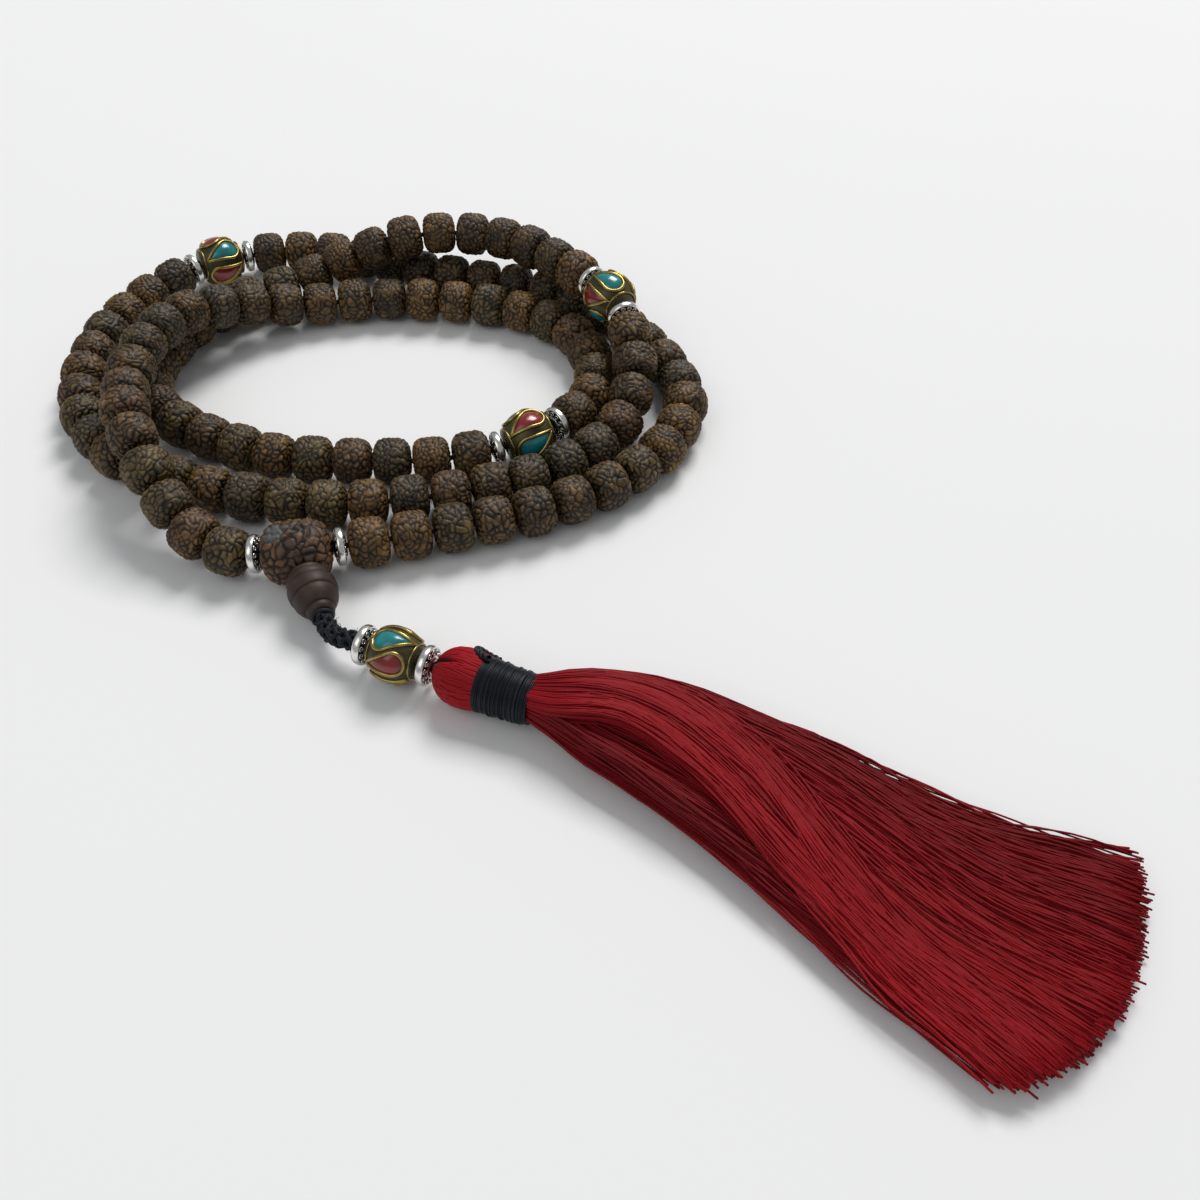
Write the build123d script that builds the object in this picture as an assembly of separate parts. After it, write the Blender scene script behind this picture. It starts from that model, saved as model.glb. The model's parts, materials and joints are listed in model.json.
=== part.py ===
from build123d import *
import math
import os

# Mala prayer beads: 108 crackled seed beads in four runs of 27, strung in a closed
# loop that lies in three overlapping rings, with a guru bead, three inlaid counter
# beads and a tassel. All sizes are in millimetres and +Z is up. The object stands on
# Z = 0 with its origin under the middle of its bounding box.

# Driving dimensions
SEED_SIZES = ((9.7, 7.75), (9.4, 7.6), (9.6, 7.5), (9.3, 7.6))  # diameter, length
SEEDS_PER_RUN = 27
SEED_BORE_RADIUS = 1.05
SEED_END_DOME_RADIUS = 6.5
SPACER_DIAMETER = 7.2
SPACER_THICKNESS = 2.4
SPACER_RIM_THICKNESS = 1.3
SPACER_BORE_RADIUS = 1.05
INLAY_DIAMETER = 10.8
INLAY_LENGTH = 10.0
INLAY_ROOM = 0.3
INLAY_END_BEVEL = 0.4
INLAY_END_DIAMETER = 6.6
INLAY_BORE_RADIUS = 1.05
INLAY_RECESS_DEPTH = 0.9
INLAY_WIRE_WIDTH = 0.42
INLAY_WIRE_PROUD = 0.12
CHIP_COUNT = 6
CHIP_WIDTH = 3.5
CHIP_LENGTH = 6.6
CHIP_TILT = 16
TASSEL_BEAD_SHARE = 0.9  # the size of the tassel's inlaid bead, by that of a counter bead
GURU_DIAMETER = 12.0
GURU_LENGTH = 12.6
GURU_END_DIAMETER = 6.2
GURU_END_BEVEL = 0.4
GURU_BORE_RADIUS = 1.6
GURU_CAVITY_RADIUS = 1.9
KNOT_RADIUS = 1.3
STUPA_LENGTH = 10.0
STUPA_SEAT_RADIUS = 7.05
STUPA_BORE_RADIUS = 1.2
STRING_RADIUS = 0.5
TAIL_RADIUS = 0.8
BRAID_RADIUS = 1.75
HINGE_GAP = 0.4
HEAD_RADIUS = 5.0
HEAD_LENGTH = 8.7
HEAD_CORE_RADIUS = 3.3
WRAP_LENGTH = 9.5
WRAP_RADII = (4.7, 4.1)  # at the head's end and at the skirt's end
WRAP_CLEARANCE = 0.03
TIE_RADIUS = 0.6
SKIRT_NECK_GAP = 0.4
PIECE_GAP = 0.3  # between any two neighbours on a cord

# The string's route through the bead bores, from the guru bead round and back to it.
ROUTE = [
    (-38, -6.3, 6.05),
    (-25, -2.5, 4.9),
    (-9.5, 1.5, 4.9),
    (6, 6, 4.9),
    (20, 13.5, 4.9),
    (31, 25.5, 4.9),
    (36, 40.5, 4.9),
    (30.5, 55.5, 4.9),
    (22, 69, 4.9),
    (11, 79, 4.9),
    (-3, 85, 4.9),
    (-17, 88, 4.9),
    (-30, 92.5, 4.9),
    (-43, 98, 4.9),
    (-55, 100, 4.9),
    (-67, 98, 4.9),
    (-78, 91, 6.3),
    (-87, 81, 4.9),
    (-93, 67.5, 4.9),
    (-94, 51.5, 4.9),
    (-90.5, 36, 4.9),
    (-81, 23, 4.9),
    (-67, 15.5, 4.9),
    (-52, 10, 4.9),
    (-36, 7.5, 4.9),
    (-20, 9, 4.9),
    (-4.5, 12.5, 4.9),
    (10, 18.5, 4.9),
    (21.5, 29.5, 5.8),
    (25, 44.5, 10.3),
    (22, 59, 14.9),
    (15, 69.5, 15.3),
    (6, 80, 14.9),
    (-1.5, 87, 14.7),
    (-10, 91.2, 14.1),
    (-20, 91, 14.9),
    (-30, 88.5, 14.6),
    (-41, 87.8, 10.1),
    (-54, 84.8, 5.2),
    (-67, 77, 4.9),
    (-75.5, 66, 4.9),
    (-79, 53.5, 4.9),
    (-77.5, 41.5, 4.9),
    (-69.5, 32.5, 4.9),
    (-58, 26, 4.9),
    (-46, 21.5, 4.9),
    (-32, 20.5, 4.9),
    (-18, 20.5, 4.9),
    (-4, 23.5, 4.9),
    (7, 29, 6.6),
    (15, 38.7, 4.9),
    (16.5, 53, 4.9),
    (10.5, 66.5, 4.9),
    (-2.5, 74.9, 4.9),
    (-18, 78, 4.9),
    (-34, 79, 4.9),
    (-50, 75.5, 5.2),
    (-63, 69.5, 9.3),
    (-72.5, 59.5, 14.3),
    (-77.5, 45.5, 15.1),
    (-77, 31, 14.7),
    (-72.5, 17.5, 16.9),
    (-64.7, 4.9, 10.5),
    (-58.5, -1.5, 6.2),
    (-50.3, -6.1, 5.1),
]

# Seeds with a node and a spin of their own, by their number in each run.
SINGLE_SEEDS = (9, 18)

# The guru bead's bore lies along GURU_HEADING. The stupa points along STUPA_HEADING from
# the guru bead, the braid bends at BRAID_BEND, and from TASSEL_PIVOT on all lies along
# TASSEL_HEADING. Headings are in degrees from +X, seen from above.
GURU_HEADING = 10
STUPA_HEADING = -65
STUPA_DIP = 4.5
BRAID_BEND = (-29, -25.4, 4.7)
TASSEL_PIVOT = (-25.9, -26.8, 5.3)
TASSEL_HEADING = -22.5
SKIRT_NECK_STATION = 5.0
# Skirt sections: distance from the wrap, half width, half height, sideways shift, height
SKIRT_SECTIONS = (
    (0.5, 1.6, 1.6, 0, 5.5),
    (3.2, 4.1, 4.0, 0, 5.5),
    (8, 7.0, 4.9, 0.5, 5.4),
    (20, 10.0, 4.6, 0.6, 5.0),
    (38, 13.4, 4.0, -1.9, 4.4),
    (58, 16.2, 3.3, -6.5, 3.7),
    (75, 18.2, 2.6, -10.6, 3.0),
    (91, 21, 2.0, -13.7, 2.3),
)


def fillet_radii(points):
    """Arc radius at each inner corner: 0.45 of the shorter run over the tangent of half the turn."""
    radii = []
    for before, corner, after in zip(points, points[1:], points[2:]):
        first = Vector(*corner) - Vector(*before)
        second = Vector(*after) - Vector(*corner)
        half_turn = math.radians(first.get_angle(second)) / 2
        radii.append(0.45 * min(first.length, second.length) / math.tan(half_turn))
    return radii


def along(origin, direction):
    """A plane at origin whose Z axis is direction and whose X axis is level."""
    level = Vector(0, 0, 1).cross(direction)
    return Plane(origin=origin, x_dir=level, z_dir=direction)


def turned(points):
    """A solid of revolution about Z from a closed outline of (radius, height) points."""
    with BuildPart() as piece:
        with BuildSketch(Plane.XZ):
            with BuildLine():
                Polyline(*points, close=True)
            make_face()
        revolve(axis=Axis.Z)
    return piece.part


def barrel(diameter, length, end_diameter, bevel=0.0):
    """A solid barrel with bulging sides, and ends that are flat or a little bevelled."""
    middle = diameter / 2
    end = end_diameter / 2
    half = length / 2
    shoulder = half - bevel
    with BuildPart() as piece:
        with BuildSketch(Plane.XZ):
            with BuildLine():
                ThreePointArc((end, -shoulder), (middle, 0), (end, shoulder))
                Polyline(
                    (end, shoulder),
                    (0.45 * end, half),
                    (0, half),
                    (0, -half),
                    (0.45 * end, -half),
                    (end, -shoulder),
                )
            make_face()
        revolve(axis=Axis.Z)
    return piece.part


def seed_bead(diameter, length):
    """A drum-shaped seed with bulging sides, domed ends and a bore."""
    middle = diameter / 2
    corner = 0.9 * middle
    half = length / 2
    bore = SEED_BORE_RADIUS

    def dome(radius):
        return half - radius**2 / (2 * SEED_END_DOME_RADIUS)

    with BuildPart() as piece:
        with BuildSketch(Plane.XZ) as outline:
            with BuildLine():
                ThreePointArc((corner, -dome(corner)), (middle, 0), (corner, dome(corner)))
                half_way = (corner + bore) / 2
                ThreePointArc(
                    (corner, dome(corner)), (half_way, dome(half_way)), (bore, dome(bore))
                )
                Line((bore, dome(bore)), (bore, -dome(bore)))
                ThreePointArc(
                    (bore, -dome(bore)), (half_way, -dome(half_way)), (corner, -dome(corner))
                )
            make_face()
            fillet(outline.vertices().filter_by(lambda v: v.X > bore + 0.5), 1.1)
        revolve(axis=Axis.Z)
    return piece.part


def spacer():
    """A silver disc: a flat-topped rim between two bevelled faces, with a bore."""
    rim = SPACER_DIAMETER / 2
    half = SPACER_THICKNESS / 2
    half_rim = SPACER_RIM_THICKNESS / 2
    bore = SPACER_BORE_RADIUS
    inner = bore + 0.9
    return turned(
        [
            (bore, -half),
            (inner, -half),
            (rim - 0.25, -half_rim),
            (rim, -half_rim + 0.3),
            (rim, half_rim - 0.3),
            (rim - 0.25, half_rim),
            (inner, half),
            (bore, half),
        ]
    )


def teardrop(width, length, grow=0.0):
    """A teardrop face, round at its lower end and pointed at its upper end, grown on all sides."""
    radius = width / 2
    low = -length / 2 + radius
    tip = length / 2
    reach = tip - low
    grown = radius + grow
    far = low + reach * grown / radius
    side = math.asin(radius / reach)
    touch = (grown * math.cos(side), low + grown * math.sin(side))
    with BuildSketch() as face:
        with BuildLine():
            Line((0, far), touch)
            ThreePointArc(touch, (0, low - grown), (-touch[0], touch[1]))
            Line((-touch[0], touch[1]), (0, far))
        make_face()
    return face.sketch


def inlay_bead():
    """The inlaid bead at the origin: its body, its wires, and its chips of two colours."""
    outer = barrel(INLAY_DIAMETER, INLAY_LENGTH, INLAY_END_DIAMETER, INLAY_END_BEVEL)
    proud = 2 * INLAY_WIRE_PROUD
    raised = barrel(INLAY_DIAMETER + proud, INLAY_LENGTH, INLAY_END_DIAMETER + proud)
    depth = 2 * INLAY_RECESS_DEPTH
    floor = barrel(INLAY_DIAMETER - depth, INLAY_LENGTH + 1, INLAY_END_DIAMETER - depth + 1)
    tangent = Plane(origin=(0, 0, 0), x_dir=(0, 1, 0), z_dir=(1, 0, 0))
    body = outer - Cylinder(INLAY_BORE_RADIUS, INLAY_LENGTH + 2)
    chips = []
    wires = []
    for number in range(CHIP_COUNT):
        turn = Rot(0, 0, 360 * number / CHIP_COUNT)
        flip = Rot(0, 0, CHIP_TILT + 180 * (number % 2))
        face = tangent * flip * teardrop(CHIP_WIDTH, CHIP_LENGTH)
        wide = tangent * flip * teardrop(CHIP_WIDTH, CHIP_LENGTH, INLAY_WIRE_WIDTH)
        inside = extrude(face, INLAY_DIAMETER) - floor
        pocket = extrude(wide, INLAY_DIAMETER) - floor
        chips.append(turn * (inside & outer))
        wires.append(turn * ((pocket & raised) - extrude(face, INLAY_DIAMETER)))
        body = body - turn * pocket
    return body, wires, chips[0::2], chips[1::2]


def guru_bead(bore_plane, out_plane):
    """The three-holed bead: its through bore is along one plane's Z, its third hole along the other's."""
    bead = barrel(GURU_DIAMETER, GURU_LENGTH, GURU_END_DIAMETER, GURU_END_BEVEL)
    bead -= Cylinder(GURU_BORE_RADIUS, GURU_LENGTH + 2)
    bead -= Sphere(GURU_CAVITY_RADIUS)
    third = Cylinder(GURU_BORE_RADIUS, GURU_DIAMETER, align=(Align.CENTER, Align.CENTER, Align.MIN))
    return bore_plane * bead - out_plane * third


def stupa_cap():
    """The stepped cap: its seat hollow fits the guru bead, whose centre is the origin, and +Z is outwards."""
    start = 5.0
    end = GURU_DIAMETER / 2 + STUPA_LENGTH
    bore = STUPA_BORE_RADIUS
    with BuildPart() as piece:
        with BuildSketch(Plane.XZ):
            with BuildLine():
                Line((bore, start), (3.2, start))
                ThreePointArc((3.2, start), (3.9, start + 1.4), (4.1, start + 2.6))
                ThreePointArc((4.1, start + 2.6), (4.5, start + 4.2), (4.2, start + 6.0))
                ThreePointArc((4.2, start + 6.0), (3.8, start + 7.3), (3.0, start + 8.8))
                ThreePointArc((3.0, start + 8.8), (2.6, end - 1.0), (2.0, end))
                Polyline((2.0, end), (bore, end), (bore, start))
            make_face()
        revolve(axis=Axis.Z)
    return piece.part - Sphere(STUPA_SEAT_RADIUS)


def swept_tube(wire, radius):
    """A round tube along a wire."""
    with BuildPart() as tube:
        with BuildSketch(Plane(origin=wire @ 0, z_dir=wire % 0)):
            Circle(radius)
        sweep(path=wire)
    return tube.part


def string_pieces():
    """The node and the seed size of everything on the string, in order after the guru bead."""
    pieces = []
    for run in range(1, 5):
        pieces.append((f"counter_{run - 1}_spacer_b" if run > 1 else "guru_spacer_a", None))
        for number in range(1, SEEDS_PER_RUN + 1):
            node = f"seed_{run}_{number:02d}" if number in SINGLE_SEEDS else f"seeds_run_{run}"
            size = SEED_SIZES[(SEEDS_PER_RUN * run + number) % len(SEED_SIZES)]
            pieces.append((node, size))
        pieces.append((f"counter_{run}_spacer_a" if run < 4 else "guru_spacer_b", None))
        if run < 4:
            pieces.append((f"counter_{run}", None))
    return pieces


def piece_length(node, size):
    """The length along the string of one piece, with room to tilt for an inlaid bead."""
    if size:
        return size[1]
    return SPACER_THICKNESS if "spacer" in node else INLAY_LENGTH + 2 * INLAY_ROOM


def string_path():
    """The string's wire, from one side of the knot in the guru bead round to its other side."""
    guru = Vector(*ROUTE[0])
    offset = KNOT_RADIUS + 0.15
    first = guru + (Vector(*ROUTE[1]) - guru).normalized() * offset
    last = guru + (Vector(*ROUTE[-1]) - guru).normalized() * offset
    points = [tuple(first), *ROUTE[1:], tuple(last)]
    radii = fillet_radii(points)
    print("string radii", [round(radius, 1) for radius in radii])
    return FilletPolyline(*points, radius=radii).wire(), offset


def string_planes(wire, offset):
    """The node, seed size and plane of each piece on the string, spread evenly along it."""
    pieces = string_pieces()
    filled = sum(piece_length(node, size) for node, size in pieces) + GURU_LENGTH
    gap = (wire.length + 2 * offset - filled) / (len(pieces) + 1)
    print("string length", round(wire.length + 2 * offset, 1), "gap", round(gap, 3))
    place = GURU_LENGTH / 2 - offset
    planes = []
    for node, size in pieces:
        length = piece_length(node, size)
        place += gap + length / 2
        spot = wire.position_at(place, position_mode=PositionMode.LENGTH)
        course = wire.tangent_at(place, position_mode=PositionMode.LENGTH)
        planes.append((node, size, along(spot, course)))
        place += length / 2
    return planes


def heading(degrees, dip=0.0):
    """The unit vector along a heading, dipping below the level."""
    level = math.cos(math.radians(dip))
    across = math.radians(degrees)
    return Vector(level * math.cos(across), level * math.sin(across), -math.sin(math.radians(dip)))


def guru_planes():
    """The guru bead's plane, with +Z along its bore, and the stupa cap's, with +Z outwards."""
    centre = Vector(*ROUTE[0])
    return along(centre, heading(GURU_HEADING)), along(centre, heading(STUPA_HEADING, STUPA_DIP))


def braid_start():
    """The point that the tassel swings about, just outside the stupa's tip."""
    reach = GURU_DIAMETER / 2 + STUPA_LENGTH + HINGE_GAP + BRAID_RADIUS
    return Vector(*ROUTE[0]) + heading(STUPA_HEADING, STUPA_DIP) * reach


def braid():
    """The braided cord from the stupa's tip to the tassel's first spacer, with round ends."""
    points = [tuple(braid_start()), BRAID_BEND, TASSEL_PIVOT]
    radii = fillet_radii(points)
    print("braid radius", [round(radius, 1) for radius in radii])
    wire = FilletPolyline(*points, radius=radii).wire()
    tube = swept_tube(wire, BRAID_RADIUS)
    return tube + Pos(*points[0]) * Sphere(BRAID_RADIUS) + Pos(*points[-1]) * Sphere(BRAID_RADIUS)


def tassel_stations():
    """Distances along the tassel from its pivot to the middles and ends of its pieces."""
    upper = BRAID_RADIUS + HINGE_GAP + SPACER_THICKNESS / 2
    bead = upper + SPACER_THICKNESS / 2 + PIECE_GAP + TASSEL_BEAD_SHARE * INLAY_LENGTH / 2
    lower = 2 * bead - upper
    head = lower + SPACER_THICKNESS / 2 + PIECE_GAP
    wrap = head + HEAD_LENGTH
    return {"upper": upper, "bead": bead, "lower": lower, "head": head, "wrap": wrap,
            "skirt": wrap + WRAP_LENGTH}


def tie_loop(grow=0.0):
    """The tie cord's loop, half sunk in the head beside the wrap. +Z is along the tassel."""
    points = []
    for angle, ahead_of_wrap in ((8, 0.3), (14, 1.7), (34, 2.7), (54, 2.4), (66, 1.0), (70, 0.3)):
        turn = math.radians(angle)
        reach = HEAD_RADIUS + 0.15
        points.append((reach * math.cos(turn), reach * math.sin(turn), HEAD_LENGTH - ahead_of_wrap))
    wire = FilletPolyline(*points, radius=fillet_radii(points)).wire()
    return swept_tube(wire, TIE_RADIUS + grow)


def tassel_head():
    """The egg-shaped head of folded threads, with its core inside the wrap. +Z is along the tassel."""
    widest = 0.62 * HEAD_LENGTH
    shoulder = WRAP_RADII[0] - 0.15
    with BuildPart() as piece:
        with BuildSketch(Plane.XZ):
            with BuildLine():
                ThreePointArc((0, 0), (0.8 * HEAD_RADIUS, 2), (HEAD_RADIUS, widest))
                ThreePointArc(
                    (HEAD_RADIUS, widest),
                    (0.985 * HEAD_RADIUS, 0.84 * HEAD_LENGTH),
                    (shoulder, HEAD_LENGTH),
                )
                Polyline(
                    (shoulder, HEAD_LENGTH),
                    (HEAD_CORE_RADIUS, HEAD_LENGTH),
                    (HEAD_CORE_RADIUS, HEAD_LENGTH + WRAP_LENGTH),
                    (0, HEAD_LENGTH + WRAP_LENGTH),
                    (0, 0),
                )
            make_face()
        revolve(axis=Axis.Z)
    bore = Cylinder(TAIL_RADIUS + 0.1, 5, align=(Align.CENTER, Align.CENTER, Align.MIN))
    return piece.part - bore - tie_loop(grow=0.03)


def tassel_wrap():
    """The wound thread as one sleeve round the head's core. +Z is along the tassel."""
    inner = HEAD_CORE_RADIUS + WRAP_CLEARANCE
    start, end = WRAP_RADII
    return turned(
        [
            (inner, 0),
            (start - 0.2, 0),
            (start, 0.4),
            ((start + end) / 2, 0.45 * WRAP_LENGTH),
            (end, WRAP_LENGTH - 0.3),
            (end - 0.2, WRAP_LENGTH),
            (inner, WRAP_LENGTH),
        ]
    )


def tassel_skirt():
    """The skirt of threads as one soft solid that fans out and lies on the surface."""
    pivot = Vector(*TASSEL_PIVOT)
    ahead = heading(TASSEL_HEADING)
    left = heading(TASSEL_HEADING + 90)
    wrap_end = tassel_stations()["skirt"]
    middles = []
    for distance, _, _, shift, height in SKIRT_SECTIONS:
        level = pivot + ahead * (wrap_end + distance) + left * shift
        middles.append(Vector(level.X, level.Y, height))
    sections = []
    for number, (_, half_width, half_height, _, _) in enumerate(SKIRT_SECTIONS):
        before = middles[max(number - 1, 0)]
        after = middles[min(number + 1, len(middles) - 1)]
        course = Vector(after.X - before.X, after.Y - before.Y, 0)
        plane = Plane(origin=middles[number], x_dir=Vector(0, 0, 1).cross(course), z_dir=course)
        sections.append(plane * Ellipse(half_width, half_height))
    return loft(sections)


def build_nodes():
    """Every node's solids, by node name."""
    nodes = {}

    def add(node, *solids):
        for solid in solids:
            nodes.setdefault(node, []).extend(solid.solids())

    body, wires, turquoise, coral = inlay_bead()
    silver = spacer()

    def add_inlay_bead(node, plane, share=1.0):
        def put(piece):
            return plane * scale(piece, by=share)

        add(f"{node}_body", put(body))
        add(f"{node}_wires", *[put(wire) for wire in wires])
        add(f"{node}_turquoise", *[put(chip) for chip in turquoise])
        add(f"{node}_coral", *[put(chip) for chip in coral])

    wire, offset = string_path()
    cord = swept_tube(wire, STRING_RADIUS)
    section = math.pi * STRING_RADIUS**2
    print("string volume", round(cord.volume, 2), "section x length", round(section * wire.length, 2))
    add("string", cord)
    seeds = {size: seed_bead(*size) for size in SEED_SIZES}
    for node, size, plane in string_planes(wire, offset):
        if size:
            add(node, plane * seeds[size])
        elif "spacer" in node:
            add(node, plane * silver)
        else:
            add_inlay_bead(node, plane)

    guru_plane, stupa_plane = guru_planes()
    add("guru_bead", guru_bead(guru_plane, stupa_plane))
    add("stupa_cap", stupa_plane * stupa_cap())
    reach = GURU_DIAMETER / 2 + STUPA_LENGTH + 0.2
    tail = Cylinder(TAIL_RADIUS, reach, align=(Align.CENTER, Align.CENTER, Align.MIN))
    add("string_knot_and_tail", stupa_plane * (Sphere(KNOT_RADIUS) + tail))
    add("braid", braid())

    stations = tassel_stations()
    ahead = heading(TASSEL_HEADING)

    def tassel_plane(station):
        return along(Vector(*TASSEL_PIVOT) + ahead * station, ahead)

    add("tassel_spacer_a", tassel_plane(stations["upper"]) * silver)
    add_inlay_bead("tassel_bead", tassel_plane(stations["bead"]), TASSEL_BEAD_SHARE)
    add("tassel_spacer_b", tassel_plane(stations["lower"]) * silver)
    start = BRAID_RADIUS + HINGE_GAP
    length = stations["head"] + 4.5 - start
    cord = Cylinder(TAIL_RADIUS, length, align=(Align.CENTER, Align.CENTER, Align.MIN))
    add("tassel_cord", tassel_plane(start) * cord)
    add("tassel_head", tassel_plane(stations["head"]) * tassel_head())
    add("tassel_tie_loop", tassel_plane(stations["head"]) * tie_loop())
    add("tassel_wrap", tassel_plane(stations["wrap"]) * tassel_wrap())
    add("tassel_skirt", tassel_skirt())
    return nodes


def main():
    os.makedirs("parts", exist_ok=True)
    for node, solids in build_nodes().items():
        shape = solids[0] if len(solids) == 1 else Compound(solids)
        export_step(shape, f"parts/{node}.step")


main()
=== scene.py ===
"""Mala prayer beads: the looks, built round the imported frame."""

import json
import math

import bpy
import numpy as np
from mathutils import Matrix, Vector


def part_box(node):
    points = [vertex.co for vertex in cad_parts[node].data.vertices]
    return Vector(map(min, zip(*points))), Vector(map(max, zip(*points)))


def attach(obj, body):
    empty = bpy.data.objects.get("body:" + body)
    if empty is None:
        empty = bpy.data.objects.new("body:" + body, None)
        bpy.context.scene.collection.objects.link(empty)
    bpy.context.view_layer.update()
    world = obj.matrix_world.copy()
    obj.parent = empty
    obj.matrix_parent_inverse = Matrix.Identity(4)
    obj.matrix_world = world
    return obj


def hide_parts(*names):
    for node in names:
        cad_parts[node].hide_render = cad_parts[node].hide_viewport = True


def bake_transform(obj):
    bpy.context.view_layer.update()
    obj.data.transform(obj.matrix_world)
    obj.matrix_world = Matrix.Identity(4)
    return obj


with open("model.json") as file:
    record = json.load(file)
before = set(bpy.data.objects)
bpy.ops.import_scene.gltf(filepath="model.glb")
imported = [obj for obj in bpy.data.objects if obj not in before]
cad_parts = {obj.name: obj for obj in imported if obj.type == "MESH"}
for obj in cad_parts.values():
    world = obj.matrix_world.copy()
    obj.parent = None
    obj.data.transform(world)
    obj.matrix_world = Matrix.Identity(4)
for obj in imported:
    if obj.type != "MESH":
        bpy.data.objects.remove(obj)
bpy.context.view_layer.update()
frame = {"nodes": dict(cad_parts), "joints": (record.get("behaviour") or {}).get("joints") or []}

MM = 1000.0
NODES = frame["nodes"]
JOINTS = {joint["name"]: joint for joint in frame["joints"]}
rng = np.random.default_rng(108)


# ---------------------------------------------------------------- camera, light and floor

CAMERA_PLACE = (0.017, -0.1625, 0.158)
CAMERA_DIP = 46.5  # degrees below level
WORLD_STRENGTH = 0.325
KEY_PLACE = (0.84, 2.0, 2.7)
KEY_SIZE = 1.5
KEY_POWER = 91.0
FILL_PLACE = (-0.60, -0.60, 1.10)
FILL_SIZE = 0.90
FILL_POWER = 2.8
FLOOR_REACH = 30.0


def add_camera():
    """The camera in front of the coils; its lens is as long as its frame is wide."""
    camera = bpy.data.cameras.new("camera")
    camera.sensor_width = 36
    camera.lens = 36
    camera.clip_start = 0.005
    camera.dof.use_dof = False
    holder = bpy.data.objects.new("camera", camera)
    holder.location = CAMERA_PLACE
    holder.rotation_euler = (math.radians(90 - CAMERA_DIP), 0, 0)
    bpy.context.scene.collection.objects.link(holder)
    bpy.context.scene.camera = holder


def add_area(name, place, size, power, colour=(1, 1, 1)):
    """A square area light aimed at the origin."""
    light = bpy.data.lights.new(name, "AREA")
    light.size = size
    light.energy = power
    light.color = colour
    holder = bpy.data.objects.new(name, light)
    bpy.context.scene.collection.objects.link(holder)
    holder.location = place
    holder.rotation_euler = (-Vector(place)).to_track_quat("-Z", "Y").to_euler()


def add_surroundings():
    """The pale world and floor, the key light behind at the right and a weak fill at the left."""
    world = bpy.data.worlds.new("studio")
    world.use_nodes = True
    background = world.node_tree.nodes["Background"]
    background.inputs["Color"].default_value = (0.95, 0.98, 1.0, 1)
    background.inputs["Strength"].default_value = WORLD_STRENGTH
    bpy.context.scene.world = world
    bpy.context.scene.view_settings.view_transform = "Standard"
    add_area("key", KEY_PLACE, KEY_SIZE, KEY_POWER, (1.0, 0.99, 0.98))
    add_area("fill", FILL_PLACE, FILL_SIZE, FILL_POWER)
    mesh = bpy.data.meshes.new("floor")
    corners = [(-1, -1), (1, -1), (1, 1), (-1, 1)]
    mesh.from_pydata([(x * FLOOR_REACH, y * FLOOR_REACH, 0) for x, y in corners], [], [(0, 1, 2, 3)])
    floor = bpy.data.objects.new("floor", mesh)
    bpy.context.scene.collection.objects.link(floor)
    material = bpy.data.materials.new("floor")
    material.use_nodes = True
    shader = material.node_tree.nodes["Principled BSDF"]
    shader.inputs["Base Color"].default_value = (0.87, 0.87, 0.87, 1)
    shader.inputs["Roughness"].default_value = 0.9
    mesh.materials.append(material)


# ---------------------------------------------------------------- small helpers


def srgb(red, green, blue):
    """A linear colour from display values of 0 to 255."""
    value = np.array([red, green, blue]) / 255
    return np.where(value <= 0.04045, value / 12.92, ((value + 0.055) / 1.055) ** 2.4)


def unit(vector):
    """Vectors scaled to length 1."""
    vector = np.asarray(vector, float)
    return vector / np.maximum(np.linalg.norm(vector, axis=-1, keepdims=True), 1e-12)


def ease(value):
    """A smooth step from 0 to 1."""
    value = np.clip(value, 0, 1)
    return value * value * (3 - 2 * value)


def mixed(first, second, share):
    """The first colour with a share of the second mixed in, point by point."""
    share = np.asarray(share)[..., None]
    return first * (1 - share) + second * share


def noise(points, scale, seed):
    """Smooth noise of about unit spread: a sum of waves in random directions."""
    source = np.random.default_rng(seed)
    waves = source.normal(size=(3, 10)) * scale
    phases = source.uniform(0, 2 * math.pi, 10)
    return np.sin(points @ waves + phases).sum(axis=-1) / math.sqrt(5)


class Batch:
    """The points, faces and colours of one piece, gathered in millimetres."""

    def __init__(self):
        self.points = []
        self.faces = {3: [], 4: []}
        self.tones = []
        self.count = 0

    def add(self, shape, tone=(1, 1, 1)):
        points, faces = shape
        points = np.asarray(points, float).reshape(-1, 3)
        self.faces[faces.shape[1]].append(faces + self.count)
        self.points.append(points)
        self.tones.append(np.broadcast_to(tone, (len(points), 3)))
        self.count += len(points)

    def build(self, name, material):
        """The piece as one smooth mesh object in metres, with its material and slot."""
        points = np.concatenate(self.points) / MM
        loops = []
        starts = []
        first = 0
        for corners, faces in self.faces.items():
            if faces:
                joined = np.concatenate(faces)
                loops.append(joined.ravel())
                starts.append(first + corners * np.arange(len(joined)))
                first += joined.size
        loops = np.concatenate(loops)
        starts = np.concatenate(starts)
        mesh = bpy.data.meshes.new(name)
        mesh.vertices.add(len(points))
        mesh.vertices.foreach_set("co", points.astype(np.float32).ravel())
        mesh.loops.add(len(loops))
        mesh.loops.foreach_set("vertex_index", loops.astype(np.int32))
        mesh.polygons.add(len(starts))
        mesh.polygons.foreach_set("loop_start", starts.astype(np.int32))
        mesh.polygons.foreach_set("use_smooth", np.ones(len(starts), bool))
        mesh.update(calc_edges=True)
        tones = np.ones((len(points), 4), np.float32)
        tones[:, :3] = np.concatenate(self.tones)
        attribute = mesh.attributes.new("tone", "FLOAT_COLOR", "POINT")
        attribute.data.foreach_set("color", tones.ravel())
        mesh.validate()
        mesh.materials.append(material)
        piece = bpy.data.objects.new(name, mesh)
        bpy.context.scene.collection.objects.link(piece)
        return piece


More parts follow.
